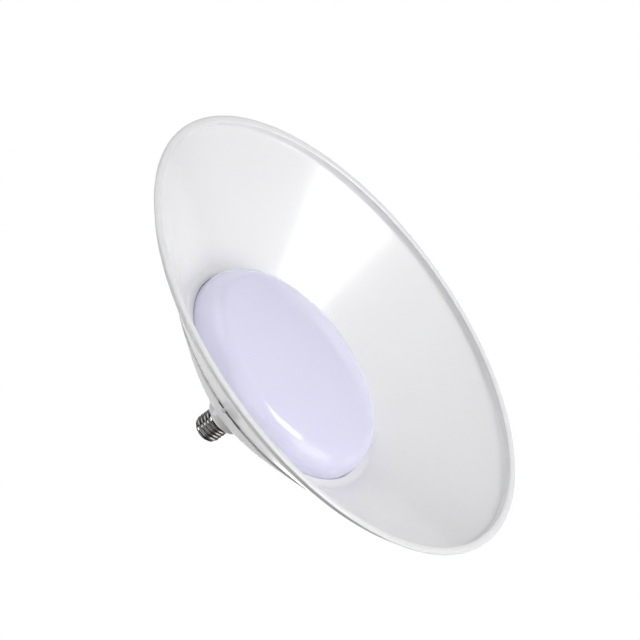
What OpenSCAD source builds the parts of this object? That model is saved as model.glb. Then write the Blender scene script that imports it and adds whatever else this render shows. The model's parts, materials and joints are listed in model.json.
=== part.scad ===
// LED high bay lamp with a screw cap, locked into a spun cone reflector.
// The lamp hangs with its cap up, +Z. The rim of the reflector lies in the plane z = 0 and faces down.

/* [Reflector] */
// Outside diameter over the rolled lip
reflector_d = 430; // [400:1:480]
// Slope of the cone, measured from the plane of the rim
cone_angle = 34; // [32:0.5:37]
// Thickness of the spun sheet
sheet_t = 1.5; // [1:0.1:2]
// Width of the rolled lip
lip_w = 7.8; // [6:0.1:10]
// Depth of the rolled lip along the lamp's axis
lip_h = 3.2; // [2.6:0.1:4.5]
// Width of the flat ring on which the lip rests
lip_flat_w = 2; // [1:0.1:3]
// Height of the cone's inside above the lip, where it would meet the lip's middle
lip_web_h = 1.7; // [1:0.1:3]
// Inside radius of the bend between the cone and the lip
bend_r = 3.5; // [2:0.5:5]
// Play between the light cover and the edge of the hole
hole_play = 0.4; // [0.3:0.1:1.5]

/* [Twist lock] */
// Number of tongues that hold the housing's flange
lock_count = 3; // [2:1:6]
// Width of a tongue
tongue_w = 3.4; // [2:0.1:6]
// Thickness of a tongue
tongue_t = 1.1; // [0.8:0.1:1.6]
// Reach of a tongue's nose over the flange
tongue_reach = 2; // [1:0.1:3]
// Play between a tongue and the flange
tongue_play = 0.3; // [0.1:0.05:0.5]
// Length of the relief under the flange at each tongue
relief_w = 28.5; // [16:0.5:40]
// Height of that relief
relief_h = 0.9; // [0.5:0.1:1.2]
// Depth of that relief towards the axis
relief_depth = 6; // [3:0.5:10]
// Distance of the relief's middle from its tongue, around the axis
relief_shift = 6; // [0:0.5:8]

/* [Housing] */
// Diameter of the flange that lies on the reflector
flange_d = 269; // [250:1:290]
// Thickness of the flange at its edge
flange_t = 1.8; // [1.5:0.1:3]
// Width of the flat band round the flange
flange_band_w = 1.2; // [0.8:0.1:2.5]
// Play between the flange and the reflector
flange_play = 0.2; // [0.1:0.05:0.4]
// How much flatter the dome is than the reflector, in degrees
dome_ease = 1.9; // [0.5:0.1:3.9]
// Bulge of the dome beyond a straight cone
dome_bulge = 4; // [1:0.1:5]
// Wall of the dome along the lamp's axis
dome_wall = 2.6; // [2:0.1:3.2]
// Diameter of the neck
neck_d = 36.4; // [34:0.2:42]
// Length of the neck
neck_h = 10.8; // [8:0.2:16]
// Wall of the neck
neck_wall = 2.6; // [2:0.1:3.5]
// Radius of the neck's rounded end
neck_round = 4.6; // [2:0.1:5]
// Radius of the fillet between dome and neck
neck_fillet = 3; // [1:0.1:5]
// Length of the spigot inside the cap
spigot_h = 14; // [10:0.5:15]
// Wall of the spigot
spigot_wall = 1.8; // [1.2:0.1:2.5]
// Wall of the collar inside the light cover
collar_wall = 2; // [1.5:0.1:3]
// Length of that collar below the cover's upper edge
collar_h = 5.5; // [5:0.1:8]
// Number of ribs inside the dome
rib_count = 12; // [6:1:24]
// Thickness of a rib
rib_t = 1.6; // [1:0.1:2.5]
// Outside diameter of a screw boss
boss_d = 7; // [6:0.1:9]
// Depth of the hole in a screw boss
boss_hole_h = 8; // [7.5:0.1:9]

/* [Light cover] */
// Outside diameter of the light cover
cover_d = 201; // [190:1:212]
// Wall of the light cover
cover_t = 1.8; // [1.2:0.1:2.5]
// Height of the light cover
cover_h = 39.5; // [34:0.5:46]
// Radius of the round edge
cover_edge_r = 21; // [14:0.5:24]
// Radius of the crowned face
crown_r = 500; // [350:10:900]
// Play between the light cover and the housing's collar
cover_play = 0.3; // [0.2:0.05:0.5]
// Height of the snap bead inside the cover
bead_h = 0.6; // [0.4:0.05:0.7]

/* [Screw cap] */
// Diameter of the plain skirt
skirt_d = 26.3; // [26.1:0.05:26.5]
// Height of the plain skirt
skirt_h = 3.2; // [2:0.1:4]
// Diameter over the thread's crests
crest_d = 26.1; // [25.9:0.05:26.4]
// Diameter at the thread's roots
root_d = 24.2; // [24:0.05:24.6]
// Pitch of the thread
pitch = 3.63; // [3.4:0.01:3.8]
// Bore of the cap
cap_bore_d = 23.5; // [23.2:0.05:23.7]
// Height of the cap to the end of its thread
barrel_h = 18.6; // [17:0.1:20]
// Height of the closed shoulder
shoulder_h = 3; // [2:0.1:4]
// Diameter of the opening in the shoulder
tip_hole_d = 18; // [16:0.1:19]
// Thickness of the shoulder
shoulder_t = 0.5; // [0.3:0.05:0.8]
// Height of the insulator beyond the shoulder
insulator_h = 2.4; // [1.5:0.1:4]
// Depth of the insulator inside the cap
insulator_depth = 4.5; // [3:0.1:6]
// Diameter of the tip contact
contact_d = 9.4; // [8.5:0.1:11]
// Height of the tip contact
contact_h = 1.3; // [0.8:0.1:2]
// Diameter of the contact's stem
stem_d = 2; // [1.6:0.1:2.4]

/* [Light engine] */
// Thickness of the LED board
led_board_t = 1.6; // [1:0.1:2]
// Thickness of the thermal pad
pad_t = 0.5; // [0.3:0.1:1]
// Thickness of the heat spreader
spreader_t = 1.8; // [1.5:0.1:2]
// Gap between the discs and the housing's collar
disc_gap = 1.5; // [1:0.1:2]
// Diameter of the wire hole in the middle
wire_hole_d = 10; // [9:0.5:12]
// Radius of the innermost ring of LEDs
led_ring_r = 30; // [28:0.5:34]
// Distance from one ring of LEDs to the next
led_ring_step = 23; // [21:0.5:24]
// Number of LED rings
led_rings = 3; // [1:1:3]
// Length of an LED package
led_l = 3.5; // [2.8:0.1:5]
// Width of an LED package
led_w = 2.8; // [2:0.1:4]
// Height of an LED package
led_h = 0.8; // [0.5:0.1:1.2]
// Number of screws through the LED board
board_screw_count = 6; // [3:1:8]
// Radius of the circle of those screws
board_screw_r = 64; // [60:0.5:68]
// Diameter of the screws' shank
screw_d = 2.9; // [2.5:0.1:3]
// Diameter of the screws' head
screw_head_d = 5.6; // [5:0.1:6.5]
// Height of the screws' head
screw_head_h = 2; // [1.6:0.1:2.6]
// Play of a screw in its hole
screw_play = 0.25; // [0.1:0.05:0.5]

/* [Driver] */
// Outside diameter of the insulating tray
tray_d = 82; // [78:0.5:90]
// Wall of the tray
tray_wall = 2; // [1.5:0.1:2.5]
// Height of the tray
tray_h = 13; // [11:0.5:16]
// Height of the driver board above the tray's floor
board_lift = 7; // [5:0.5:8]
// Thickness of the driver board
driver_board_t = 1.6; // [1:0.1:2]
// Gap between the driver board and the tray's wall
driver_board_gap = 1.5; // [0.5:0.1:2.5]
// Number of screws in the driver board
driver_screw_count = 3; // [3:1:3]
// Distance of those screws from the board's edge
driver_screw_edge = 5.5; // [5:0.5:7]
// Diameter of the larger capacitor
bulk_cap_d = 18; // [14:0.5:18]
// Height of the larger capacitor
bulk_cap_h = 22; // [16:0.5:24]
// Diameter of the smaller capacitor
output_cap_d = 12.5; // [10:0.5:13]
// Height of the smaller capacitor
output_cap_h = 20; // [12:0.5:22]
// Outside diameter of a lead
lead_d = 1.6; // [1.2:0.1:1.8]

/* [Hidden] */
$fn = 96;

// Radii
reflector_r = reflector_d / 2;
flange_r = flange_d / 2;
cover_r = cover_d / 2;
neck_r = neck_d / 2;
lip_mid_r = reflector_r - lip_w / 2;
hole_r = cover_r + hole_play;
cap_bore_r = cap_bore_d / 2;
spigot_r = cap_bore_r - tongue_play;
spigot_bore_r = spigot_r - spigot_wall;
neck_bore_r = neck_r - neck_wall;
collar_r = cover_r - cover_t - cover_play;
collar_bore_r = collar_r - collar_wall;
disc_r = collar_bore_r - disc_gap;
wire_hole_r = wire_hole_d / 2;
lead_r = lead_d / 2;

// Heights of the reflector's two faces at a given radius
function cone_inside(r) = lip_h + lip_web_h + (lip_mid_r - r) * tan(cone_angle);
function cone_outside(r) = cone_inside(r) + sheet_t / cos(cone_angle);
// Underside of the housing where it lies on the reflector
function flange_under(r) = cone_outside(r) + flange_play;

// Heights of the housing
flange_top = flange_under(flange_r) + flange_t;
dome_start_r = flange_r - flange_band_w;
dome_h = (dome_start_r - neck_r) * tan(cone_angle - dome_ease);
neck_start_z = flange_top + dome_h;
neck_end_z = neck_start_z + neck_h;
function dome_share(r) = (dome_start_r - r) / (dome_start_r - neck_r);
function dome_z(r) = flange_top + dome_h * dome_share(r)
    + 4 * dome_bulge * dome_share(r) * (1 - dome_share(r));
function dome_inside(r) = dome_z(r) - dome_wall;
dome_steps = 28;
arc_step = 7.5;

// Heights inside the light cover and the dome
cover_top_z = flange_under(hole_r);
seat_step_r = hole_r + hole_play;
cover_face_z = cover_top_z - cover_h;
bead_z = cover_top_z - collar_h / 2;
led_board_z = cover_top_z - led_board_t;
pad_z = cover_top_z;
spreader_z = pad_z + pad_t;
tray_z = spreader_z + spreader_t;
driver_board_z = tray_z + tray_wall + board_lift;
parts_z = driver_board_z + driver_board_t;
tray_r = tray_d / 2;
driver_board_r = tray_r - tray_wall - driver_board_gap;
driver_screw_r = driver_board_r - driver_screw_edge;
screw_hole_r = screw_d / 2 + screw_play;
screw_end_play = 0.7;

// Heights of the cap
cap_z = neck_end_z;
thread_end_z = cap_z + barrel_h;
shoulder_z = thread_end_z + shoulder_h;
insulator_z = shoulder_z + insulator_h;
tip_z = insulator_z + contact_h;

// Points of an arc about a centre, from angle a0 to angle a1 inclusive
function arc(centre, r, a0, a1) =
    let (n = max(2, ceil(abs(a1 - a0) / arc_step)))
    [for (i = [0:n]) let (a = a0 + (a1 - a0) * i / n) centre + r * [cos(a), sin(a)]];

// Reflector

// Point on the lip's oval outline. Its lowest part is cut flat, and the flat lies at z = 0.
lip_flat_angle = acos(lip_flat_w / lip_w);
function lip_point(a) = [lip_mid_r + lip_w / 2 * cos(a),
                         lip_h / 2 + lip_h / 2 * max(-1, sin(a) / sin(lip_flat_angle))];
// The sheet bends down from the cone, runs upright to the lip and is rolled outwards there
web_in_angle = 150;
web_in_r = lip_point(web_in_angle)[0];
web_out_r = web_in_r + sheet_t;
web_out_angle = acos((web_out_r - lip_mid_r) / (lip_w / 2));
bend_mid_r = web_in_r - bend_r;
bend_mid_z = cone_inside(bend_mid_r) - bend_r / cos(cone_angle);
function reflector_outline() =
    let (bend_mid = [bend_mid_r, bend_mid_z])
    concat(
        [[hole_r, cone_outside(hole_r)]],
        arc(bend_mid, bend_r + sheet_t, 90 - cone_angle, 0),
        [for (a = [web_out_angle:-arc_step:-lip_flat_angle]) lip_point(a)],
        [lip_point(-lip_flat_angle), lip_point(lip_flat_angle - 180)],
        [for (a = [180 - lip_flat_angle + arc_step:arc_step:360 - web_in_angle]) lip_point(-a)],
        [lip_point(web_in_angle)],
        arc(bend_mid, bend_r, 0, 90 - cone_angle),
        [[hole_r, cone_inside(hole_r)]]);

// One tongue, drawn in the plane through the axis: an upright and a nose over the flange
module tongue() {
    upright_r = flange_r + tongue_play;
    nose_z = flange_top + tongue_play;
    rotate([90, 0, 0])
        translate([0, 0, -tongue_w / 2])
            linear_extrude(height = tongue_w)
                polygon([[upright_r, cone_outside(upright_r) - sheet_t / 2],
                         [upright_r + tongue_t, cone_outside(upright_r + tongue_t) - sheet_t / 2],
                         [upright_r + tongue_t, nose_z + tongue_t / 2],
                         [upright_r + tongue_t / 2, nose_z + tongue_t],
                         [flange_r - tongue_reach / 2, nose_z + tongue_t],
                         [flange_r - tongue_reach / 2, nose_z],
                         [upright_r, nose_z]]);
}

// Tongues stand at equal angles, with one towards -Y
module at_locks() {
    for (i = [0:lock_count - 1]) rotate([0, 0, -90 + i * 360 / lock_count]) children();
}

module reflector() color([0.95, 0.95, 0.95]) union() {
    rotate_extrude() polygon(reflector_outline());
    at_locks() tongue();
}

// Housing

function neck_blend() =
    let (fillet_r = neck_r + neck_fillet, fillet_z = dome_z(fillet_r) + neck_fillet)
    arc([fillet_r, fillet_z], neck_fillet, -100, -180);
function housing_outline() = concat(
    [[flange_r, flange_under(flange_r)], [flange_r, flange_top], [dome_start_r, flange_top]],
    [for (i = [1:dome_steps - 1])
        let (r = dome_start_r + (neck_r + neck_fillet + 1 - dome_start_r) * i / (dome_steps - 1))
        [r, dome_z(r)]],
    neck_blend(),
    arc([neck_r - neck_round, neck_end_z - neck_round], neck_round, 0, 90),
    [[spigot_r, neck_end_z], [spigot_r, neck_end_z + spigot_h],
     [spigot_bore_r, neck_end_z + spigot_h], [spigot_bore_r, neck_end_z - neck_wall],
     [neck_bore_r, neck_end_z - neck_wall]],
    [for (i = [0:dome_steps])
        let (r = neck_bore_r + (collar_bore_r - neck_bore_r) * i / dome_steps)
        [r, dome_inside(r)]],
    [[collar_bore_r, cover_top_z - collar_h], [collar_r, cover_top_z - collar_h],
     [collar_r, bead_z - bead_h - cover_play], [collar_r - bead_h, bead_z - cover_play],
     [collar_r - bead_h, bead_z + cover_play], [collar_r, bead_z + bead_h + cover_play],
     [collar_r, cover_top_z], [seat_step_r, cover_top_z], [seat_step_r, flange_under(seat_step_r)]]);

// Relief under the flange beside a tongue, swept round the axis
module relief() {
    half_angle = relief_w / flange_r * 90 / PI;
    shift_angle = relief_shift / flange_r * 180 / PI;
    inner_r = flange_r - relief_depth;
    outer_r = flange_r + 1;
    rotate([0, 0, -half_angle - shift_angle])
        rotate_extrude(angle = 2 * half_angle)
            polygon([[inner_r, flange_under(inner_r) - 1], [outer_r, flange_under(outer_r) - 1],
                     [outer_r, flange_under(outer_r) + relief_h],
                     [inner_r, flange_under(inner_r) + relief_h]]);
}

// Rib inside the dome: its upper edge runs in the middle of the dome's wall
module rib() {
    inner_r = tray_r + 4;
    rib_foot_z = tray_z + 0.3;
    rotate([90, 0, 0])
        translate([0, 0, -rib_t / 2])
            linear_extrude(height = rib_t)
                polygon(concat(
                    [[collar_bore_r + collar_wall / 2, rib_foot_z], [inner_r, rib_foot_z]],
                    [for (i = [0:8])
                        let (r = inner_r + (collar_bore_r + collar_wall / 2 - inner_r) * i / 8)
                        [r, dome_z(r) - dome_wall / 2]]));
}

module at_board_screws() {
    for (i = [0:board_screw_count - 1])
        rotate([0, 0, (i + 0.25) * 360 / board_screw_count]) translate([board_screw_r, 0, 0]) children();
}

module bosses() intersection() {
    at_board_screws() translate([0, 0, tray_z]) cylinder(d = boss_d, h = dome_h);
    rotate_extrude()
        polygon(concat([[neck_r, tray_z], [neck_r, dome_z(neck_r) - dome_wall / 2]],
                       [for (i = [1:dome_steps])
                           let (r = neck_r + (dome_start_r - 40 - neck_r) * i / dome_steps)
                           [r, dome_z(r) - dome_wall / 2]],
                       [[dome_start_r - 40, tray_z]]));
}

module housing() color([0.93, 0.93, 0.94]) difference() {
    union() {
        rotate_extrude() polygon(housing_outline());
        for (i = [0:rib_count - 1]) rotate([0, 0, i * 360 / rib_count]) rib();
        bosses();
    }
    at_board_screws() translate([0, 0, tray_z - 1]) cylinder(r = screw_d / 2 + 0.05, h = boss_hole_h + 1);
    at_locks() relief();
}

// Light cover

// Filled outline of a crowned cover, a distance t inside its outer face and open above
module cover_shape(t) {
    face_r = crown_r - t;
    edge_r = cover_edge_r - t;
    top_z = cover_top_z + t;
    ring_r = cover_r - cover_edge_r;
    crown_z = cover_face_z + crown_r;
    ring_z = crown_z - sqrt(pow(face_r - edge_r, 2) - pow(ring_r, 2));
    touch = [0, crown_z] + ([ring_r, ring_z] - [0, crown_z]) * face_r / (face_r - edge_r);
    intersection() {
        union() {
            translate([ring_r, ring_z]) circle(r = edge_r);
            polygon([[0, cover_face_z - 1], [touch[0], cover_face_z - 1], touch,
                     [ring_r, ring_z], [cover_r - t, ring_z], [cover_r - t, top_z], [0, top_z]]);
        }
        union() {
            translate([0, crown_z]) circle(r = face_r);
            translate([0, ring_z]) square([cover_r, top_z - ring_z]);
        }
        translate([0, cover_face_z - 1]) square([cover_r, top_z - cover_face_z + 1]);
    }
}

module light_cover() color([0.88, 0.88, 0.96]) union() {
    rotate_extrude() difference() {
        cover_shape(0);
        cover_shape(cover_t);
    }
    rotate_extrude()
        polygon([[cover_r - cover_t / 2, bead_z - bead_h], [cover_r - cover_t, bead_z - bead_h],
                 [cover_r - cover_t - bead_h, bead_z], [cover_r - cover_t, bead_z + bead_h],
                 [cover_r - cover_t / 2, bead_z + bead_h]]);
}

// Screw cap

thread_start_z = cap_z + skirt_h - 0.4;
thread_stop_z = thread_end_z + 0.3;
thread_sides = 44;
thread_rings = 36;
fade_h = 2.2;
// How far the thread has grown at height z: it runs out towards both ends
function thread_share(z) = max(0, min(1, (z - thread_start_z) / fade_h, (thread_stop_z - z) / fade_h));
function thread_r(z, a) = root_d / 2
    + (crest_d - root_d) / 2 * thread_share(z) * (1 + cos(360 * (z - thread_start_z) / pitch - a)) / 2;

module thread() {
    heights = [for (i = [0:thread_rings])
        thread_start_z + (thread_stop_z - thread_start_z) * i / thread_rings];
    points = concat(
        [for (z = heights, j = [0:thread_sides - 1])
            let (a = 360 * j / thread_sides) [thread_r(z, a) * cos(a), thread_r(z, a) * sin(a), z]],
        [[0, 0, thread_start_z], [0, 0, thread_stop_z]]);
    low_centre = len(points) - 2;
    high_centre = len(points) - 1;
    last = thread_rings * thread_sides;
    faces = concat(
        [for (i = [0:thread_rings - 1], j = [0:thread_sides - 1])
            let (k = (j + 1) % thread_sides, a = i * thread_sides)
            [a + j, a + thread_sides + j, a + thread_sides + k]],
        [for (i = [0:thread_rings - 1], j = [0:thread_sides - 1])
            let (k = (j + 1) % thread_sides, a = i * thread_sides)
            [a + j, a + thread_sides + k, a + k]],
        [for (j = [0:thread_sides - 1]) [low_centre, j, (j + 1) % thread_sides]],
        [for (j = [0:thread_sides - 1]) [high_centre, last + (j + 1) % thread_sides, last + j]]);
    polyhedron(points, faces);
}

module cap_barrel() color([0.72, 0.72, 0.74]) difference() {
    union() {
        translate([0, 0, cap_z]) cylinder(d = skirt_d, h = skirt_h);
        thread();
        rotate_extrude()
            polygon(concat([[0, thread_end_z], [root_d / 2, thread_end_z]],
                           arc([root_d / 2 - 1.2, thread_end_z + 0.6], 1.2, 0, 60),
                           [[tip_hole_d / 2 + 0.6, shoulder_z], [0, shoulder_z]]));
    }
    translate([0, 0, cap_z - 1]) cylinder(r = cap_bore_r, h = barrel_h + 1);
    translate([0, 0, thread_end_z - 0.01])
        cylinder(r1 = cap_bore_r, r2 = tip_hole_d / 2, h = shoulder_h - shoulder_t + 0.01);
    translate([0, 0, thread_end_z]) cylinder(d = tip_hole_d, h = shoulder_h + 1);
}

module cap_insulator() color([0.12, 0.12, 0.13]) rotate_extrude()
    polygon([[stem_d / 2 + 0.3, shoulder_z - insulator_depth], [tip_hole_d / 2 - 0.2, shoulder_z - insulator_depth],
             [tip_hole_d / 2 - 0.2, shoulder_z], [tip_hole_d / 2 + 0.4, shoulder_z],
             [tip_hole_d / 2 + 0.4, shoulder_z + 0.6], [contact_d / 2 + 0.7, insulator_z],
             [stem_d / 2 + 0.3, insulator_z]]);

stem_start_z = shoulder_z - insulator_depth + 0.5;
module tip_contact() color([0.7, 0.7, 0.72]) rotate_extrude()
    polygon([[0, stem_start_z], [stem_d / 2, stem_start_z], [stem_d / 2, insulator_z],
             [contact_d / 2, insulator_z], [contact_d / 2, insulator_z + contact_h * 0.4],
             [contact_d * 0.4, insulator_z + contact_h * 0.85], [contact_d * 0.22, tip_z], [0, tip_z]]);

// Light engine

module disc(r, z, t) translate([0, 0, z]) cylinder(r = r, h = t);

module screw_holes(r) at_board_screws() translate([0, 0, led_board_z - 1])
    cylinder(r = r, h = tray_z - led_board_z + 2);

module led_board() color([0.92, 0.93, 0.92]) difference() {
    disc(disc_r, led_board_z, led_board_t);
    disc(wire_hole_r, led_board_z - 1, led_board_t + 2);
    screw_holes(screw_hole_r);
}

// LED packages stand on rings, and each ring has as many as keep their distance
led_spacing = 14;
module led_packages() color([0.96, 0.9, 0.6])
    for (k = [0:led_rings - 1]) {
        ring_r = led_ring_r + k * led_ring_step;
        count = floor(2 * PI * ring_r / led_spacing);
        for (i = [0:count - 1])
            rotate([0, 0, i * 360 / count])
                translate([ring_r - led_w / 2, -led_l / 2, led_board_z - led_h]) cube([led_w, led_l, led_h]);
    }

connector_w = 9;
connector_l = 7;
connector_h = 3.4;
connector_y = 9;
lead_gap = 4.4;
led_lead_z = led_board_z - connector_h / 2;
module led_connector() color([0.97, 0.97, 0.95]) difference() {
    translate([-connector_w / 2, connector_y, led_board_z - connector_h])
        cube([connector_w, connector_l, connector_h]);
    for (x = [-1, 1])
        translate([x * lead_gap / 2, connector_y - 1, led_lead_z])
            rotate([-90, 0, 0]) cylinder(r = lead_r + 0.2, h = connector_l * 0.6);
}

module thermal_pad() color([0.55, 0.6, 0.65]) difference() {
    disc(disc_r - 1, pad_z, pad_t);
    disc(wire_hole_r + 1, pad_z - 1, pad_t + 2);
    screw_holes(screw_hole_r + 0.5);
}

module heat_spreader() color([0.75, 0.76, 0.78]) difference() {
    disc(disc_r, spreader_z, spreader_t);
    disc(wire_hole_r, spreader_z - 1, spreader_t + 2);
    screw_holes(screw_hole_r);
    at_driver_screws() disc(screw_d / 2 + 0.05, spreader_z - 1, spreader_t + 2);
}

// Pan head screw with its head at z = 0 below and its shank upwards, cross recess in the head
module screw(shank_h) difference() {
    union() {
        translate([0, 0, -screw_head_h]) cylinder(d1 = screw_head_d - 1.2, d2 = screw_head_d, h = screw_head_h * 0.5);
        translate([0, 0, -screw_head_h * 0.5]) cylinder(d = screw_head_d, h = screw_head_h * 0.5);
        cylinder(d = screw_d, h = shank_h);
    }
    for (a = [0, 90])
        rotate([0, 0, a])
            translate([-screw_head_d * 0.3, -0.35, -screw_head_h - 1]) cube([screw_head_d * 0.6, 0.7, 1 + screw_head_h * 0.55]);
}

module board_screws() color([0.6, 0.61, 0.63])
    at_board_screws() translate([0, 0, led_board_z])
        screw(tray_z - led_board_z + boss_hole_h - screw_end_play);

// Driver

module at_driver_screws() {
    for (i = [0:driver_screw_count - 1])
        rotate([0, 0, 58 + i * 360 / driver_screw_count]) translate([driver_screw_r, 0, 0]) children();
}

module driver_tray() color([0.9, 0.9, 0.88]) difference() {
    union() {
        difference() {
            disc(tray_r, tray_z, tray_h);
            disc(tray_r - tray_wall, tray_z + tray_wall, tray_h);
        }
        at_driver_screws() disc(boss_d / 2, tray_z + tray_wall / 2, board_lift + tray_wall / 2);
    }
    disc(wire_hole_r, tray_z - 1, tray_wall + 2);
    at_driver_screws() disc(screw_hole_r, tray_z - 1, board_lift + tray_wall + 2);
}

module driver_board() color([0.15, 0.4, 0.2]) difference() {
    disc(driver_board_r, driver_board_z, driver_board_t);
    at_driver_screws() disc(screw_hole_r, driver_board_z - 1, driver_board_t + 2);
}

module driver_screws() color([0.6, 0.61, 0.63])
    at_driver_screws() translate([0, 0, parts_z]) mirror([0, 0, 1])
        screw(parts_z - spreader_z - 0.2);

// Electrolytic capacitor: can with a crimp ring near its foot and a rounded rim
module electrolytic(d, h) rotate_extrude()
    polygon([[0, 0], [d / 2 - 0.3, 0], [d / 2, 0.5], [d / 2, 1.6], [d / 2 - 0.5, 2.1], [d / 2 - 0.5, 2.5],
             [d / 2, 3], [d / 2, h - 0.8], [d / 2 - 0.8, h], [d / 2 - 1.4, h - 0.3], [0, h - 0.3]]);

module bulk_capacitor() color([0.12, 0.14, 0.2])
    translate([18, 7, parts_z]) electrolytic(bulk_cap_d, bulk_cap_h);

module output_capacitor() color([0.14, 0.16, 0.22])
    translate([-18, 14, parts_z]) electrolytic(output_cap_d, output_cap_h);

module film_capacitor() color([0.85, 0.65, 0.15]) translate([14, -18, parts_z]) cube([7, 14, 11]);

// Transformer: a core with two windows, and a winding round its middle leg
core_w = 20;
core_h = 18;
core_depth = 6;
core_leg = 3.5;
window_h = (core_h - 3 * core_leg) / 2;
transformer_x = -6;
transformer_y = -14;
bobbin_foot = 2;
winding_gap = 0.2;
winding_side = 4;
module at_transformer() translate([transformer_x, transformer_y, parts_z]) children();

module transformer_core() color([0.25, 0.25, 0.26]) at_transformer() difference() {
    translate([-core_w / 2, -core_depth / 2, bobbin_foot]) cube([core_w, core_depth, core_h]);
    for (k = [0, 1])
        translate([-core_w / 2 + core_leg, -core_depth, bobbin_foot + core_leg + k * (window_h + core_leg)])
            cube([core_w - 2 * core_leg, 2 * core_depth, window_h]);
}

module transformer_winding() color([0.75, 0.55, 0.15]) at_transformer() {
    half_w = core_w / 2 - core_leg - winding_gap;
    half_depth = core_depth / 2 + winding_side;
    low_z = bobbin_foot + core_leg + winding_gap;
    high_z = bobbin_foot + core_h - core_leg - winding_gap;
    leg_z = bobbin_foot + core_leg + window_h - winding_gap;
    difference() {
        union() {
            translate([-half_w, -half_depth, low_z]) cube([2 * half_w, 2 * half_depth, high_z - low_z]);
            for (s = [-1, 1])
                translate([-core_w / 2, s * (half_depth - winding_side / 2) - winding_side / 2, 0])
                    cube([core_w, winding_side, low_z + 1]);
        }
        translate([-core_w, -core_depth / 2 - winding_gap, leg_z])
            cube([2 * core_w, core_depth + 2 * winding_gap, core_leg + 2 * winding_gap]);
        for (z = [-1, high_z])
            translate([-core_w, -core_depth / 2 - winding_gap, z])
                cube([2 * core_w, core_depth + 2 * winding_gap, z < 0 ? low_z + 1 : core_h]);
    }
}

// Choke: winding between two flanges on a ferrite drum
module filter_choke() color([0.3, 0.28, 0.27]) translate([-22.5, -10.5, parts_z]) rotate_extrude()
    polygon([[0, 0], [5, 0], [5, 2], [4.3, 2.4], [4.3, 9.6], [5, 10], [5, 12], [0, 12]]);

module bridge_rectifier() color([0.1, 0.1, 0.11]) translate([-4, 22, parts_z])
    difference() {
        cube([8.5, 6.5, 3.4]);
        translate([-1, 3.25, 3.4]) rotate([0, 90, 0]) cylinder(r = 0.5, h = 3, $fn = 24);
    }

module driver_chip() color([0.1, 0.1, 0.11]) translate([-8, 10, parts_z]) {
    cube([5, 4, 1.6]);
}

module fuse_resistor() color([0.45, 0.65, 0.75]) translate([27, -4, parts_z]) rotate_extrude()
    polygon([[0, 0], [0.4, 0], [0.4, 1], [2.4, 1.3], [2.4, 3], [2, 3.6], [2, 8.4], [2.4, 9], [2.4, 11], [1.6, 11.6], [0, 11.6]]);

module surge_absorber() color([0.2, 0.35, 0.65]) translate([4, 19.5, parts_z + 5.5])
    rotate([90, 0, 0]) translate([0, 0, -1.8]) union() {
        cylinder(r = 5, h = 3.6);
        translate([-1.5, -5.5, 1]) cube([3, 2, 1.6]);
    }

// Leads

// Direction of a list of points at index i
function unit(v) = v / norm(v);
function heading(p, i) = unit(p[min(i + 1, len(p) - 1)] - p[max(i - 1, 0)]);
// Smooth curve through the points, with a few steps to each span
span_steps = 4;
function spline(p0, p1, p2, p3, t) = 0.5 * (2 * p1 + (p2 - p0) * t
    + (2 * p0 - 5 * p1 + 4 * p2 - p3) * t * t + (3 * p1 - p0 - 3 * p2 + p3) * t * t * t);
function smooth_path(p) = concat(
    [for (i = [0:len(p) - 2], s = [0:span_steps - 1])
        spline(p[max(i - 1, 0)], p[i], p[i + 1], p[min(i + 2, len(p) - 1)], s / span_steps)],
    [p[len(p) - 1]]);

// Round lead along a path. side is a direction that the path never runs in.
lead_sides = 8;
module lead(route, side, start, finish) {
    path = smooth_path(route);
    n = len(path);
    points = [for (i = [0:n - 1], j = [0:lead_sides - 1])
        let (d = i == 0 ? start : i == n - 1 ? finish : heading(path, i),
             u = unit(cross(d, side)), v = cross(d, u), a = 360 * j / lead_sides)
        path[i] + lead_r * (cos(a) * u + sin(a) * v)];
    faces = concat(
        [for (i = [0:n - 2], j = [0:lead_sides - 1])
            let (k = (j + 1) % lead_sides, a = i * lead_sides)
            [a + j, a + lead_sides + j, a + lead_sides + k, a + k]],
        [[for (j = [0:lead_sides - 1]) j]],
        [[for (j = [lead_sides - 1:-1:0]) (n - 1) * lead_sides + j]]);
    polyhedron(points, faces);
}

tip_lead_x = -3;
barrel_lead_x = 3;
lead_y = 3;
module tip_lead() color([0.1, 0.1, 0.1])
    lead([[tip_lead_x, lead_y, parts_z], [tip_lead_x, lead_y, parts_z + 14], [-1, 1, neck_start_z],
          [0, 0, neck_end_z], [0, 0, neck_end_z + 8], [0, 0, stem_start_z]], [0, 1, 0], [0, 0, 1], [0, 0, 1]);

barrel_lead_r = spigot_bore_r - lead_r - 0.4;
barrel_lead_z = neck_end_z + spigot_h + lead_r + 0.4;
module barrel_lead() color([0.9, 0.9, 0.9])
    lead([[barrel_lead_x, lead_y, parts_z], [barrel_lead_x, lead_y, parts_z + 14],
          [barrel_lead_r - 2, 1, neck_start_z], [barrel_lead_r, 0, neck_end_z + 2],
          [barrel_lead_r, 0, neck_end_z + spigot_h - 2.5], [barrel_lead_r + 0.8, 0, barrel_lead_z - 0.5],
          [cap_bore_r - 0.1, 0, barrel_lead_z]], [0, 1, 0], [0, 0, 1], [1, 0, 0]);

// The leads to the LED board leave the driver board downwards and turn into the connector
module board_lead(x)
    lead([[x, 0, driver_board_z], [x, 0, tray_z + 2], [x, 0.2, led_board_z + 2.5], [x, 2.2, led_lead_z + 0.3],
          [x, 5, led_lead_z], [x, connector_y + 2, led_lead_z]], [1, 0, 0], [0, 0, -1], [0, 1, 0]);

module positive_lead() color([0.75, 0.1, 0.1]) board_lead(lead_gap / 2);
module negative_lead() color([0.1, 0.1, 0.1]) board_lead(-lead_gap / 2);

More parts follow.
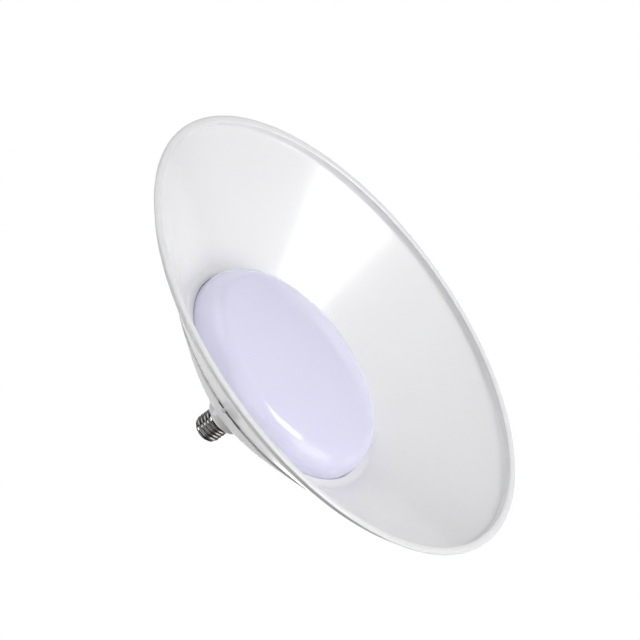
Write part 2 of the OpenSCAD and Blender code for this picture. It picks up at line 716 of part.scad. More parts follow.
reflector();
housing();
light_cover();
cap_barrel();
cap_insulator();
tip_contact();
led_board();
led_packages();
led_connector();
thermal_pad();
heat_spreader();
board_screws();
driver_tray();
driver_board();
driver_screws();
bulk_capacitor();
output_capacitor();
film_capacitor();
transformer_core();
transformer_winding();
filter_choke();
bridge_rectifier();
driver_chip();
fuse_resistor();
surge_absorber();
tip_lead();
barrel_lead();
positive_lead();
negative_lead();
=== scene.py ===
"""Dresses the high bay lamp: smooth skins for what shows, materials, studio light and the camera."""
import json
import math

import bmesh
import bpy
from mathutils import Matrix, Vector


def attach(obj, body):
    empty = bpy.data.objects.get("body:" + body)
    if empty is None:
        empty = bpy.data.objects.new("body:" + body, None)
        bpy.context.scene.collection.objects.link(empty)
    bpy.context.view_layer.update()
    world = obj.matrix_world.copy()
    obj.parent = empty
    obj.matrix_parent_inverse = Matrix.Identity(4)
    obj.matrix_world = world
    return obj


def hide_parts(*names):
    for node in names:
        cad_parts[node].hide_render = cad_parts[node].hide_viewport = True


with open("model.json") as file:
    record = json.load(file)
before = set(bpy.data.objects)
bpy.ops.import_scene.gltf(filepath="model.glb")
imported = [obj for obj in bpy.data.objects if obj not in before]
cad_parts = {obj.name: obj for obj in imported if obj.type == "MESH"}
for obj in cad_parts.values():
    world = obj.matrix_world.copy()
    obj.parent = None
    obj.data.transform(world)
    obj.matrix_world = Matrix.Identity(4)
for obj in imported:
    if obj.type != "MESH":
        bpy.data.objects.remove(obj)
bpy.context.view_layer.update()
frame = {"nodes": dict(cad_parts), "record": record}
MM = 0.001

# Reflector, in millimetres and degrees. Its main sizes are those of the part
REFLECTOR_R = 215.0
CONE_DEGREES = 34.0
CONE_ANGLE = math.radians(CONE_DEGREES)
CONE_SLOPE = math.tan(CONE_ANGLE)
CONE_NORMAL = 90.0 - CONE_DEGREES
SHEET_T = 1.5
SHEET_RISE = SHEET_T / math.cos(CONE_ANGLE)
LIP_W = 7.8
LIP_H = 3.2
LIP_FLAT_W = 2.0
LIP_MID_R = REFLECTOR_R - LIP_W / 2
WEB_TOP_Z = LIP_H + 1.7
WEB_CREASE = 0.5
BEND_R = 3.5
HOLE_R = 100.9
HOLE_CHAMFER_W = 0.35
HOLE_CHAMFER_H = 0.4

# Flat ring in which the sheet ends round the hole. The part's sheet is a straight cone there
RING_W = 8.0
RING_R = HOLE_R + RING_W
RING_BEND_R = 4.0

# Walk round the lip's outline, clockwise in degrees, which skips the part that is cut flat
LIP_START = 120
LIP_END = -210
LIP_STEP = 5
LIP_LOWEST = -90
LIP_FLAT_HALF = 15

# Lock tongues: places round the axis, sizes and the two ends of the nose
LOCK_TURNS = [math.radians(270 + 120 * i) for i in range(3)]
TONGUE_W = 3.4
TONGUE_T = 1.1
TONGUE_PLAY = 0.3
TONGUE_SINK = 0.6
TONGUE_CREASE = 0.2
TONGUE_EDGE = 0.12
# Steps out from the tongue's root and up from the nose's underside
TONGUE_SHOULDER = [(1.1, 0.5), (0.95, 0.85), (0.6, 1.05), (0.3, 1.1)]
# Steps in from the flange's edge and up from the nose's underside
TONGUE_NOSE = [(0.7, 1.1), (1.0, 0.8), (1.0, 0.0)]

# Housing
SEAT_R = 101.3
FLANGE_R = 134.5
FLANGE_T = 1.8
FLANGE_PLAY = 0.2
FLANGE_CHAMFER_W = 0.2
FLANGE_CHAMFER_H = 0.15
FLANGE_EDGE_R = 0.35
NECK_R = 18.2
NECK_H = 10.8
NECK_ROUND = 4.6
NECK_FILLET_R = 3.0
NECK_FILLET_START = -118
DOME_START_R = FLANGE_R - 1.2
DOME_END_R = NECK_R + 4.2
DOME_EASE = math.radians(1.9)
DOME_RISE = (DOME_START_R - NECK_R) * math.tan(CONE_ANGLE - DOME_EASE)
DOME_BULGE = 4.0
DOME_FOOT_R = 0.3
DOME_FOOT_IN = 0.1
DOME_FOOT_FROM = 280
DOME_FOOT_TO = 240
# Reliefs under the flange: sizes, angles from the tongue's middle, and how far each step is drawn out
RELIEF_DEPTH = 6.0
RELIEF_H = 0.9
RELIEF_FROM = math.radians(-8.65)
RELIEF_TO = math.radians(3.5)
RELIEF_STEP_W = 0.05
RELIEF_STEP_TURN = 0.001
# Seat of the cap: radii, and heights from the neck's end
CAP_SEAT = [(13.3, 0.0), (13.1, -0.3), (11.6, -0.3)]

# Light cover
COVER_R = 100.5
COVER_H = 39.5
COVER_T = 1.8
COVER_EDGE_R = 21.0
CROWN_R = 500.0

# Screw cap
BARREL_H = 18.6
SHOULDER_H = 3.0
INSULATOR_H = 2.4
CREST_R = 13.05
ROOT_R = 12.1
PITCH = 3.63
# Thread: its start and its foot above the neck's end, its stop past the barrel's end, and its run-out
THREAD_START_UP = 2.8
THREAD_FOOT_UP = 3.15
THREAD_STOP_PAST = 0.3
THREAD_FADE = 2.2
SHOULDER_BEND_R = 1.2
SHOULDER_BEND_RISE = 0.6
SHOULDER_BEND_END = 62
# Skirt of the barrel: radii, and heights from the neck's end
SKIRT = [(11.75, 0.1), (12.9, 0.02), (13.15, 0.25), (13.15, 2.7), (13.1, 2.9), (12.95, 3.05), (12.3, 3.12)]
# Rim of the barrel and the insulator: radii, and heights from the shoulder
BARREL_RIM = [(9.75, -0.15), (9.5, 0.0), (9.0, 0.0), (9.0, -1.0)]
INSULATOR = [(8.7, -1.0), (8.75, 0.02), (9.3, 0.05), (9.4, 0.3), (9.3, 0.65), (7.6, 1.4),
             (5.9, INSULATOR_H - 0.15), (5.4, INSULATOR_H), (1.4, INSULATOR_H)]
# Tip contact: radii, and heights from the insulator's end
CONTACT = [(4.55, 0.0), (4.7, 0.15), (4.68, 0.5), (4.3, 0.85), (3.4, 1.12), (2.0, 1.27),
           (0.9, 1.3), (0.0, 1.3)]

# Steps along the outlines, sides round the axis and the angles from which an edge is sharp
CONE_STEPS = 24
FLANGE_STEPS = 4
DOME_STEPS = 60
CROWN_STEPS = 24
COVER_WALL_STEPS = 3
THREAD_STEPS = 110
BODY_SIDES = 360
COVER_SIDES = 288
BARREL_SIDES = 144
TIP_SIDES = 96
SHARP_BODY = 38
SHARP_CAP = 50


def cone_inside(r):
    """Height of the cone's inner face at a radius."""
    return WEB_TOP_Z + (LIP_MID_R - r) * CONE_SLOPE


def cone_outside(r):
    """Height of the cone's outer face at a radius."""
    return cone_inside(r) + SHEET_RISE


def flange_under(r):
    """Height of the flange's underside at a radius."""
    return cone_outside(r) + FLANGE_PLAY


# Heights that follow from these sizes
RING_LOW = cone_inside(RING_R)
RING_TOP = RING_LOW + SHEET_T
FLANGE_TOP = flange_under(FLANGE_R) + FLANGE_T
NECK_END = FLANGE_TOP + DOME_RISE + NECK_H
COVER_TOP = flange_under(HOLE_R)
COVER_FACE = COVER_TOP - COVER_H
CAP_END = NECK_END + BARREL_H
SHOULDER = CAP_END + SHOULDER_H
INSULATOR_END = SHOULDER + INSULATOR_H
THREAD_START = NECK_END + THREAD_START_UP
THREAD_FOOT = NECK_END + THREAD_FOOT_UP
THREAD_STOP = CAP_END + THREAD_STOP_PAST


# Outlines, as points of radius and height


def arc(centre, radius, start, end, step=6.0):
    """Points of an arc about a centre, with both ends. The angles are in degrees."""
    count = max(2, math.ceil(abs(end - start) / step))
    angles = [math.radians(start + (end - start) * i / count) for i in range(count + 1)]
    return [(centre[0] + radius * math.cos(a), centre[1] + radius * math.sin(a)) for a in angles]


def line(first, last, count):
    """Points of a straight line, without its first one."""
    return [
        (first[0] + (last[0] - first[0]) * i / count, first[1] + (last[1] - first[1]) * i / count)
        for i in range(1, count + 1)
    ]


def lifted(outline, height):
    """An outline moved up by a height."""
    return [(r, height + z) for r, z in outline]


# Meshes


def turns(count):
    """Angles of a full turn in equal steps."""
    return [2 * math.pi * i / count for i in range(count)]


def join_rings(bm, low, high):
    """Faces between two rings of points. A ring of one point closes the surface."""
    count = max(len(low), len(high))
    for j in range(count):
        k = (j + 1) % count
        if len(low) == 1:
            bm.faces.new((low[0], high[k], high[j]))
        elif len(high) == 1:
            bm.faces.new((low[j], low[k], high[0]))
        else:
            bm.faces.new((low[j], low[k], high[k], high[j]))


def revolve(bm, outline, angles, closed=False, shift=None):
    """Adds a surface of revolution. shift moves a point by its index, radius, height and angle."""
    rings = []
    for i, (r, z) in enumerate(outline):
        if r == 0:
            rings.append([bm.verts.new((0, 0, z * MM))])
            continue
        ring = []
        for a in angles:
            rr, zz = shift(i, r, z, a) if shift else (r, z)
            ring.append(bm.verts.new((rr * math.cos(a) * MM, rr * math.sin(a) * MM, zz * MM)))
        rings.append(ring)
    for low, high in zip(rings, rings[1:]):
        join_rings(bm, low, high)
    if closed:
        join_rings(bm, rings[-1], rings[0])


def add_piece(name, bm, material, sharp_angle, node):
    """Puts a mesh in the scene as a smooth piece of the lamp that stands for its node."""
    bmesh.ops.recalc_face_normals(bm, faces=bm.faces)
    mesh = bpy.data.meshes.new(name)
    bm.to_mesh(mesh)
    bm.free()
    mesh.polygons.foreach_set("use_smooth", [True] * len(mesh.polygons))
    mesh.set_sharp_from_angle(angle=math.radians(sharp_angle))
    mesh.materials.append(material)
    piece = bpy.data.objects.new(name, mesh)
    bpy.context.scene.collection.objects.link(piece)
    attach(piece, "root")
    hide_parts(node)


# Materials

COAT_ROUGHNESS = 0.08
SURFACE_IOR = 1.5
# Span of the noise that is used, and how much finer roughness and relief are than colour
NOISE_LOW = 0.3
NOISE_HIGH = 0.7
ROUGHNESS_FINER = 6
RELIEF_FINER = 40


def new_material(name):
    """An empty material with a principled shader."""
    material = bpy.data.materials.new(name)
    material.use_nodes = True
    nodes = material.node_tree.nodes
    nodes.clear()
    output = nodes.new("ShaderNodeOutputMaterial")
    shader = nodes.new("ShaderNodeBsdfPrincipled")
    material.node_tree.links.new(shader.outputs[0], output.inputs[0])
    return material, material.node_tree, shader


def noise(tree, scale, detail):
    """Noise over the object's own coordinates, scale in waves per metre."""
    place = tree.nodes.new("ShaderNodeTexCoord")
    texture = tree.nodes.new("ShaderNodeTexNoise")
    texture.inputs["Scale"].default_value = scale
    texture.inputs["Detail"].default_value = detail
    tree.links.new(place.outputs["Object"], texture.inputs["Vector"])
    return texture


def vary_colour(tree, shader, texture, low, high):
    """The base colour runs from low to high with a texture."""
    ramp = tree.nodes.new("ShaderNodeValToRGB")
    first, last = ramp.color_ramp.elements
    first.position = NOISE_LOW
    first.color = (*low, 1)
    last.position = NOISE_HIGH
    last.color = (*high, 1)
    tree.links.new(texture.outputs["Fac"], ramp.inputs["Fac"])
    tree.links.new(ramp.outputs["Color"], shader.inputs["Base Color"])


def vary_roughness(tree, shader, texture, low, high):
    """The roughness runs from low to high with a texture."""
    span = tree.nodes.new("ShaderNodeMapRange")
    span.inputs["From Min"].default_value = NOISE_LOW
    span.inputs["From Max"].default_value = NOISE_HIGH
    span.inputs["To Min"].default_value = low
    span.inputs["To Max"].default_value = high
    tree.links.new(texture.outputs["Fac"], span.inputs["Value"])
    tree.links.new(span.outputs["Result"], shader.inputs["Roughness"])


def add_bump(tree, shader, texture, height):
    """Relief from a texture, with its height in metres."""
    bump = tree.nodes.new("ShaderNodeBump")
    bump.inputs["Distance"].default_value = height
    tree.links.new(texture.outputs["Fac"], bump.inputs["Height"])
    tree.links.new(bump.outputs["Normal"], shader.inputs["Normal"])


def surface(name, low, high, roughness, grain, relief=0.0, metallic=0.0, coat=0.0):
    """A material whose colour, roughness and relief vary with noise of a given grain."""
    material, tree, shader = new_material(name)
    shader.inputs["Metallic"].default_value = metallic
    shader.inputs["IOR"].default_value = SURFACE_IOR
    shader.inputs["Coat Weight"].default_value = coat
    shader.inputs["Coat Roughness"].default_value = COAT_ROUGHNESS
    vary_colour(tree, shader, noise(tree, grain, detail=3), low, high)
    vary_roughness(tree, shader, noise(tree, grain * ROUGHNESS_FINER, detail=2), *roughness)
    if relief:
        add_bump(tree, shader, noise(tree, grain * RELIEF_FINER, detail=2), relief)
    return material


def white_enamel():
    """Gloss enamel on the spun sheet."""
    return surface("white_enamel", (0.86, 0.86, 0.865), (0.88, 0.88, 0.885), (0.2, 0.26), 9,
                   relief=0.00003, coat=0.3)


def white_plastic():
    """Moulded plastic of the housing."""
    return surface("white_housing", (0.85, 0.85, 0.855), (0.87, 0.87, 0.875), (0.3, 0.38), 14,
                   relief=0.00003)


def opal_plastic():
    """Milky, faintly violet plastic in which light spreads a little below the surface."""
    material = surface("opal_cover", (0.76, 0.75, 0.93), (0.775, 0.765, 0.945), (0.05, 0.08), 12)
    shader = material.node_tree.nodes["Principled BSDF"]
    shader.inputs["Subsurface Weight"].default_value = 0.5
    shader.inputs["Subsurface Radius"].default_value = (0.01, 0.01, 0.01)
    return material


def nickel_plate():
    """Plated metal of the cap and its tip."""
    return surface("nickel_plate", (0.23, 0.22, 0.215), (0.31, 0.3, 0.29), (0.1, 0.2), 160,
                   relief=0.00002, metallic=1.0)


def black_glass():
    """Insulator at the cap's tip."""
    return surface("black_glass", (0.012, 0.012, 0.014), (0.03, 0.03, 0.033), (0.15, 0.3), 200, coat=0.2)


# Low and high colour, roughness, grain, relief and metallic of each inner slot
INNER_LOOKS = {
    "led_board_white": ((0.82, 0.82, 0.8), (0.86, 0.86, 0.85), (0.3, 0.4), 60, 0.0, 0.0),
    "led_yellow": ((0.75, 0.6, 0.18), (0.85, 0.7, 0.25), (0.35, 0.45), 900, 0.0, 0.0),
    "nylon_white": ((0.78, 0.77, 0.72), (0.84, 0.83, 0.79), (0.4, 0.55), 200, 0.00003, 0.0),
    "pad_grey": ((0.3, 0.32, 0.35), (0.38, 0.4, 0.43), (0.7, 0.85), 120, 0.00004, 0.0),
    "spreader_metal": ((0.7, 0.71, 0.73), (0.78, 0.79, 0.81), (0.28, 0.42), 80, 0.00002, 1.0),
    "screw_steel": ((0.5, 0.51, 0.52), (0.62, 0.62, 0.63), (0.22, 0.38), 400, 0.0, 1.0),
    "tray_white": ((0.76, 0.76, 0.73), (0.8, 0.8, 0.78), (0.45, 0.6), 70, 0.00004, 0.0),
    "board_green": ((0.02, 0.14, 0.05), (0.03, 0.2, 0.08), (0.25, 0.4), 150, 0.00002, 0.0),
    "capacitor_dark": ((0.03, 0.035, 0.06), (0.045, 0.05, 0.08), (0.2, 0.3), 150, 0.0, 0.0),
    "film_yellow": ((0.6, 0.35, 0.03), (0.7, 0.42, 0.05), (0.2, 0.3), 180, 0.0, 0.0),
    "ferrite": ((0.03, 0.03, 0.032), (0.055, 0.055, 0.057), (0.5, 0.7), 300, 0.00004, 0.0),
    "winding_tape": ((0.6, 0.34, 0.04), (0.7, 0.42, 0.07), (0.3, 0.45), 140, 0.00003, 0.0),
    "chip_black": ((0.015, 0.015, 0.017), (0.03, 0.03, 0.032), (0.4, 0.55), 500, 0.00002, 0.0),
    "resistor_blue": ((0.2, 0.42, 0.58), (0.27, 0.5, 0.66), (0.2, 0.3), 300, 0.0, 0.0),
    "absorber_blue": ((0.03, 0.09, 0.36), (0.05, 0.13, 0.45), (0.15, 0.25), 250, 0.0, 0.0),
    "lead_black": ((0.012, 0.012, 0.012), (0.025, 0.025, 0.025), (0.4, 0.5), 300, 0.0, 0.0),
    "lead_white": ((0.74, 0.74, 0.73), (0.8, 0.8, 0.79), (0.4, 0.5), 300, 0.0, 0.0),
    "lead_red": ((0.4, 0.012, 0.012), (0.5, 0.02, 0.02), (0.4, 0.5), 300, 0.0, 0.0),
}


def dress_inner_parts():
    """Gives each node inside the housing the material of its slot."""
    materials = {slot: surface(slot, *look) for slot, look in INNER_LOOKS.items()}
    for part in frame["record"]["subparts"]:
        if part["material_slot"] in materials:
            for holder in frame["nodes"][part["node"]].material_slots:
                holder.material = materials[part["material_slot"]]


# Reflector


def lip_point(angle):
    """Point on the lip's oval outline, whose lowest part is cut flat."""
    a = math.radians(angle)
    top = math.sin(math.acos(LIP_FLAT_W / LIP_W))
    return (LIP_MID_R + LIP_W / 2 * math.cos(a), LIP_H / 2 + LIP_H / 2 * max(-1.0, math.sin(a) / top))


def lip_outline():
    """The lip from the foot of the cone's outside round to the foot of its inside."""
    angles = range(LIP_START, LIP_END - 1, -LIP_STEP)
    return [lip_point(a) for a in angles if abs(a - LIP_LOWEST) >= LIP_FLAT_HALF]


def reflector_outline():
    """Closed outline of the sheet's section: down the outside, round the lip and up the inside.

    The sheet ends in a narrow flat ring round the hole, as the photograph suggests.
    """
    web_r, web_z = lip_point(LIP_END)
    middle = (web_r - BEND_R, cone_inside(web_r - BEND_R) - BEND_R / math.cos(CONE_ANGLE))
    ring_middle = (RING_R - RING_BEND_R * math.tan(CONE_ANGLE / 2), RING_LOW - RING_BEND_R)
    points = [(HOLE_R, RING_TOP - HOLE_CHAMFER_H), (HOLE_R + HOLE_CHAMFER_W, RING_TOP)]
    points += arc(ring_middle, RING_BEND_R + SHEET_T, 90.0, CONE_NORMAL)
    outer_bend = arc(middle, BEND_R + SHEET_T, CONE_NORMAL, 0.0)
    points += line(points[-1], outer_bend[0], CONE_STEPS)[:-1] + outer_bend
    points += lip_outline()
    points += [(web_r + WEB_CREASE / 2, web_z + WEB_CREASE / 2), (web_r, web_z + WEB_CREASE)]
    points += arc(middle, BEND_R, 0.0, CONE_NORMAL)
    ring_bend = arc(ring_middle, RING_BEND_R, CONE_NORMAL, 90.0)
    points += line(points[-1], ring_bend[0], CONE_STEPS)[:-1] + ring_bend
    points += [(HOLE_R + HOLE_CHAMFER_W, RING_LOW), (HOLE_R, RING_LOW + HOLE_CHAMFER_H)]
    return points


def tongue_outline():
    """Side view of a lock tongue: an upright beside the flange with a nose over it."""
    root_r = FLANGE_R + TONGUE_PLAY
    nose_z = FLANGE_TOP + TONGUE_PLAY
    side = [(r, cone_outside(r) - TONGUE_SINK) for r in (root_r, root_r + TONGUE_T)]
    side += [(root_r + out, nose_z + up) for out, up in TONGUE_SHOULDER]
    side += [(FLANGE_R - inward, nose_z + up) for inward, up in TONGUE_NOSE]
    side += [(root_r - TONGUE_CREASE, nose_z), (root_r, nose_z - TONGUE_CREASE)]
    return side


def add_tongue(bm, turn):
    """A lock tongue at an angle round the axis, with its side edges broken."""
    side = tongue_outline()
    middle = Vector((sum(r for r, z in side) / len(side), 0, sum(z for r, z in side) / len(side)))
    spin = Matrix.Rotation(turn, 4, "Z")
    half = TONGUE_W / 2
    inner = half - TONGUE_EDGE
    rows = []
    for y, inset in ((-half, TONGUE_EDGE), (-inner, 0.0), (inner, 0.0), (half, TONGUE_EDGE)):
        row = []
        for r, z in side:
            point = Vector((r, 0, z))
            point += (middle - point).normalized() * inset
            row.append(bm.verts.new(spin @ (Vector((point.x, y, point.z)) * MM)))
        rows.append(row)
    for low, high in zip(rows, rows[1:]):
        join_rings(bm, low, high)
    bm.faces.new(rows[0])
    bm.faces.new(rows[-1])


def add_reflector():
    """The spun sheet with its lock tongues."""
    bm = bmesh.new()
    revolve(bm, reflector_outline(), turns(BODY_SIDES), closed=True)
    for turn in LOCK_TURNS:
        add_tongue(bm, turn)
    add_piece("reflector_skin", bm, white_enamel(), SHARP_BODY, "reflector")


# Housing: the dome, the neck and the flange, with the reliefs under the flange beside the tongues


def dome_z(r):
    """Height of the dome's outside at a radius."""
    share = (DOME_START_R - r) / (DOME_START_R - NECK_R)
    return FLANGE_TOP + DOME_RISE * share + 4 * DOME_BULGE * share * (1 - share)


def flange_outline():
    """The underside from the seat outwards and the flange's edge, with the indices that a relief lifts."""
    relief_r = FLANGE_R - RELIEF_DEPTH
    under = [(SEAT_R, COVER_TOP), (SEAT_R, flange_under(SEAT_R))]
    under += line(under[-1], (relief_r, flange_under(relief_r)), FLANGE_STEPS)
    relieved = [(r, flange_under(r)) for r in (relief_r + RELIEF_STEP_W, FLANGE_R - FLANGE_CHAMFER_W)]
    relieved.append((FLANGE_R, flange_under(FLANGE_R) + FLANGE_CHAMFER_H))
    edge = arc((FLANGE_R - FLANGE_EDGE_R, FLANGE_TOP - FLANGE_EDGE_R), FLANGE_EDGE_R, 0, 90, step=30)
    return under + relieved + edge, range(len(under), len(under) + len(relieved))


def dome_outline():
    """The dome from the flange to the neck, the fillet, the neck and the seat of the cap."""
    foot = (DOME_START_R - DOME_FOOT_IN, FLANGE_TOP + DOME_FOOT_R)
    points = arc(foot, DOME_FOOT_R, DOME_FOOT_FROM, DOME_FOOT_TO, step=20)
    radii = [DOME_START_R + (DOME_END_R - DOME_START_R) * i / DOME_STEPS for i in range(1, DOME_STEPS + 1)]
    points += [(r, dome_z(r)) for r in radii]
    fillet_r = NECK_R + NECK_FILLET_R
    points += arc((fillet_r, dome_z(fillet_r) + NECK_FILLET_R), NECK_FILLET_R, NECK_FILLET_START, -180)
    points += arc((NECK_R - NECK_ROUND, NECK_END - NECK_ROUND), NECK_ROUND, 0, 90, step=7.5)
    return points + lifted(CAP_SEAT, NECK_END)


def in_relief(angle):
    """Whether an angle round the axis lies in one of the reliefs."""
    for turn in LOCK_TURNS:
        away = (angle - turn + math.pi) % (2 * math.pi) - math.pi
        if RELIEF_FROM < away < RELIEF_TO:
            return True
    return False


def relief_angles(count):
    """Angles of a turn, with extra ones close to both sides of each end of the reliefs."""
    angles = set(turns(count))
    for turn in LOCK_TURNS:
        for end in (turn + RELIEF_FROM, turn + RELIEF_TO):
            angles.add((end - RELIEF_STEP_TURN) % (2 * math.pi))
            angles.add((end + RELIEF_STEP_TURN) % (2 * math.pi))
    return sorted(angles)


def add_housing():
    """The saucer with its flange, dome and neck."""
    flange, relieved = flange_outline()

    def lift_relief(index, r, z, angle):
        """Raises the flange's underside where a relief runs."""
        return (r, z + RELIEF_H) if index in relieved and in_relief(angle) else (r, z)

    bm = bmesh.new()
    revolve(bm, flange + dome_outline(), relief_angles(BODY_SIDES), shift=lift_relief)
    add_piece("housing_skin", bm, white_plastic(), SHARP_BODY, "housing")


# Light cover


def cover_outline(inset):
    """Half section of the cover, from the middle of its face to its upper edge."""
    face_r = CROWN_R - inset
    ring_r = COVER_R - COVER_EDGE_R
    crown_z = COVER_FACE + CROWN_R
    ring_z = crown_z - math.sqrt((CROWN_R - COVER_EDGE_R) ** 2 - ring_r ** 2)
    turn = math.asin(ring_r / (CROWN_R - COVER_EDGE_R))
    turned = [turn * i / CROWN_STEPS for i in range(CROWN_STEPS)]
    face = [(face_r * math.sin(a), crown_z - face_r * math.cos(a)) for a in turned]
    edge = arc((ring_r, ring_z), COVER_EDGE_R - inset, math.degrees(turn) - 90, 0, step=3)
    return face + edge + line(edge[-1], (COVER_R - inset, COVER_TOP), COVER_WALL_STEPS)


def add_cover():
    """The milky cover, outside and inside."""
    bm = bmesh.new()
    revolve(bm, cover_outline(0.0) + cover_outline(COVER_T)[::-1], turns(COVER_SIDES))
    add_piece("opal_cover", bm, opal_plastic(), SHARP_BODY, "light_cover")


# Screw cap


def thread_r(z, angle):
    """Radius of the thread's outside. The thread runs out towards both ends."""
    share = max(0.0, min(1.0, (z - THREAD_START) / THREAD_FADE, (THREAD_STOP - z) / THREAD_FADE))
    wave = (1 + math.cos(2 * math.pi * (z - THREAD_START) / PITCH - angle)) / 2
    return ROOT_R + (CREST_R - ROOT_R) * share * wave


def add_barrel(material):
    """The threaded barrel with its skirt below and its shoulder above."""
    skirt = lifted(SKIRT, NECK_END)
    foot = (ROOT_R, THREAD_FOOT)
    thread = [foot] + line(foot, (ROOT_R, THREAD_STOP), THREAD_STEPS)
    bend_middle = (ROOT_R - SHOULDER_BEND_R, CAP_END + SHOULDER_BEND_RISE)
    shoulder = arc(bend_middle, SHOULDER_BEND_R, 0, SHOULDER_BEND_END)[1:] + lifted(BARREL_RIM, SHOULDER)

    def cut_thread(index, r, z, angle):
        """Gives the barrel its thread between its skirt and its shoulder."""
        return (thread_r(z, angle), z) if 0 <= index - len(skirt) < len(thread) else (r, z)

    bm = bmesh.new()
    revolve(bm, skirt + thread + shoulder, turns(BARREL_SIDES), shift=cut_thread)
    add_piece("cap_barrel_skin", bm, material, SHARP_CAP, "cap_barrel")


def add_insulator():
    """The black insulator in the barrel's end."""
    bm = bmesh.new()
    revolve(bm, lifted(INSULATOR, SHOULDER), turns(TIP_SIDES))
    add_piece("cap_insulator_skin", bm, black_glass(), SHARP_CAP, "cap_insulator")


def add_contact(material):
    """The contact at the tip."""
    bm = bmesh.new()
    revolve(bm, lifted(CONTACT, INSULATOR_END), turns(TIP_SIDES))
    add_piece("tip_contact_skin", bm, material, SHARP_CAP, "tip_contact")


# Camera: below the rim and far off, turned about its own axis so that the lamp lies as in the photograph

CAMERA_FAR = 3.26
CAMERA_AIM = Vector((0, 0, 0.0021))
OFF_AXIS = math.radians(62.03)
HEADING = math.radians(268.26)
ROLL = math.radians(53.78)
PHOTO_PIXELS = 640
FOCAL_PIXELS = 3900
SHIFT_RIGHT_PIXELS = -20.2
SHIFT_UP_PIXELS = 11.6
SENSOR_WIDTH = 36.0
TO_CAMERA = Vector((math.sin(OFF_AXIS) * math.cos(HEADING), math.sin(OFF_AXIS) * math.sin(HEADING),
                    -math.cos(OFF_AXIS)))


def add_camera():
    """The camera at the photograph's viewing angle."""
    lamp_up = (Vector((0, 0, 1)) - TO_CAMERA * TO_CAMERA.z).normalized()
    lamp_right = lamp_up.cross(TO_CAMERA)
    right = -math.cos(ROLL) * lamp_right - math.sin(ROLL) * lamp_up
    up = math.sin(ROLL) * lamp_right - math.cos(ROLL) * lamp_up
    data = bpy.data.cameras.new("camera")
    data.sensor_width = SENSOR_WIDTH
    data.lens = FOCAL_PIXELS / PHOTO_PIXELS * SENSOR_WIDTH
    data.shift_x = SHIFT_RIGHT_PIXELS / PHOTO_PIXELS
    data.shift_y = SHIFT_UP_PIXELS / PHOTO_PIXELS
    data.clip_end = 100.0
    camera = bpy.data.objects.new("camera", data)
    axes = Matrix((right, up, TO_CAMERA)).transposed()
    camera.matrix_world = Matrix.Translation(CAMERA_AIM + TO_CAMERA * CAMERA_FAR) @ axes.to_4x4()
    bpy.context.scene.collection.objects.link(camera)
    bpy.context.scene.camera = camera


# Studio: a pale floor below the lamp, soft lights and a surround that is bright behind the lamp

FLOOR_HALF = 60.0
FLOOR_Z = -3.6
FLOOR_GLOW = 0.45
LIGHT_AIM = Vector((0, 0, 0.06))
# Name, side of the lamp, distance, width, height, power and direction of the width
LIGHTS = [
    ("key", (-0.35, 0.11, -0.93), 2.0, 0.8, 0.85, 13.2, (0.454, -0.382, -0.218)),
    ("fill", (0.0, -0.75, -0.66), 2.3, 1.8, 1.8, 11.2, (1, 0, 0)),
    ("left", (-0.85, 0.05, -0.55), 2.3, 1.6, 1.6, 19.3, (1, 0, 0)),
    ("right", (0.85, 0.05, -0.55), 2.3, 1.6, 1.6, 12.0, (1, 0, 0)),
    ("side", (0.59, -0.65, 0.47), 2.2, 0.7, 0.7, 15.0, (1, 0, 0)),
    ("top", (0.0, -0.2, 1.0), 2.2, 1.6, 1.6, 14.0, (1, 0, 0)),
    ("behind", (-0.25, 0.9, 0.3), 2.4, 1.6, 1.6, 24.0, (1, 0, 0)),
]
SURROUND_COLOUR = (0.985, 0.99, 1, 1)
# The surround is bright straight behind the lamp. It has faded where the cosine of the angle
# between a direction and the one to the camera reaches its edge
SURROUND_BRIGHT = 0.82
SURROUND_DIM = 0.05
SURROUND_EDGE = -0.3


def floor_material():
    """Pale, rough floor that looks a little brighter than the light on it makes it."""
    material = surface("floor_pale", (0.8, 0.8, 0.8), (0.84, 0.84, 0.84), (0.7, 0.8), 2)
    tree = material.node_tree
    shader = tree.nodes["Principled BSDF"]
    path = tree.nodes.new("ShaderNodeLightPath")
    glow = tree.nodes.new("ShaderNodeMath")
    glow.operation = "MULTIPLY"
    glow.inputs[1].default_value = FLOOR_GLOW
    tree.links.new(path.outputs["Is Camera Ray"], glow.inputs[0])
    tree.links.new(glow.outputs["Value"], shader.inputs["Emission Strength"])
    shader.inputs["Emission Color"].default_value = (1, 1, 1, 1)
    return material


def add_floor():
    """A wide square below the lamp."""
    corners = [(x * FLOOR_HALF, y * FLOOR_HALF, FLOOR_Z) for x, y in ((-1, -1), (1, -1), (1, 1), (-1, 1))]
    mesh = bpy.data.meshes.new("floor")
    mesh.from_pydata(corners, [], [(0, 1, 2, 3)])
    mesh.materials.append(floor_material())
    floor = bpy.data.objects.new("floor", mesh)
    bpy.context.scene.collection.objects.link(floor)


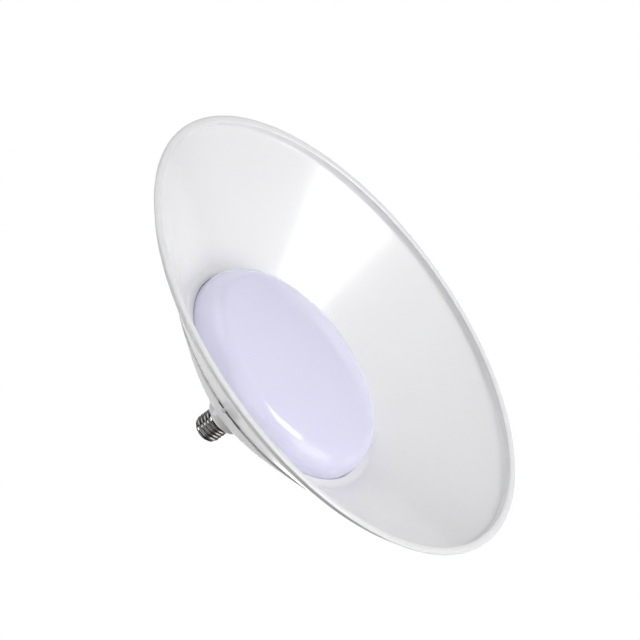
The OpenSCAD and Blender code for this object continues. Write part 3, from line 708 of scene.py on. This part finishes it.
def add_light(name, side, distance, width, height, power, along):
    """A soft panel on one side of the lamp, turned to it. Its width runs in the direction along."""
    data = bpy.data.lights.new(name, "AREA")
    data.shape = "RECTANGLE"
    data.size = width
    data.size_y = height
    data.energy = power
    away = Vector(side).normalized()
    across = Vector(along)
    across = (across - away * across.dot(away)).normalized()
    turned = Matrix((across, away.cross(across), away)).transposed()
    light = bpy.data.objects.new(name, data)
    light.matrix_world = Matrix.Translation(LIGHT_AIM + away * distance) @ turned.to_4x4()
    bpy.context.scene.collection.objects.link(light)


def add_world():
    """White to the camera. On the lamp it shines from the side that the camera looks towards."""
    world = bpy.data.worlds.new("studio")
    world.use_nodes = True
    bpy.context.scene.world = world
    tree = world.node_tree
    tree.nodes.clear()
    output = tree.nodes.new("ShaderNodeOutputWorld")
    seen = tree.nodes.new("ShaderNodeBackground")
    seen.inputs["Color"].default_value = (1, 1, 1, 1)
    seen.inputs["Strength"].default_value = 1.0
    lit = tree.nodes.new("ShaderNodeBackground")
    lit.inputs["Color"].default_value = SURROUND_COLOUR
    place = tree.nodes.new("ShaderNodeTexCoord")
    towards = tree.nodes.new("ShaderNodeVectorMath")
    towards.operation = "DOT_PRODUCT"
    towards.inputs[1].default_value = TO_CAMERA
    fade = tree.nodes.new("ShaderNodeMapRange")
    fade.inputs["From Min"].default_value = -1.0
    fade.inputs["From Max"].default_value = SURROUND_EDGE
    fade.inputs["To Min"].default_value = SURROUND_BRIGHT
    fade.inputs["To Max"].default_value = SURROUND_DIM
    path = tree.nodes.new("ShaderNodeLightPath")
    choice = tree.nodes.new("ShaderNodeMixShader")
    tree.links.new(place.outputs["Generated"], towards.inputs[0])
    tree.links.new(towards.outputs["Value"], fade.inputs["Value"])
    tree.links.new(fade.outputs["Result"], lit.inputs["Strength"])
    tree.links.new(path.outputs["Is Camera Ray"], choice.inputs["Fac"])
    tree.links.new(lit.outputs[0], choice.inputs[1])
    tree.links.new(seen.outputs[0], choice.inputs[2])
    tree.links.new(choice.outputs[0], output.inputs["Surface"])


dress_inner_parts()
add_reflector()
add_housing()
add_cover()
nickel = nickel_plate()
add_barrel(nickel)
add_insulator()
add_contact(nickel)
add_camera()
add_floor()
for light in LIGHTS:
    add_light(*light)
add_world()
bpy.context.scene.view_settings.view_transform = "Standard"
bpy.context.scene.view_settings.look = "None"
bpy.context.scene.view_settings.exposure = 0.0
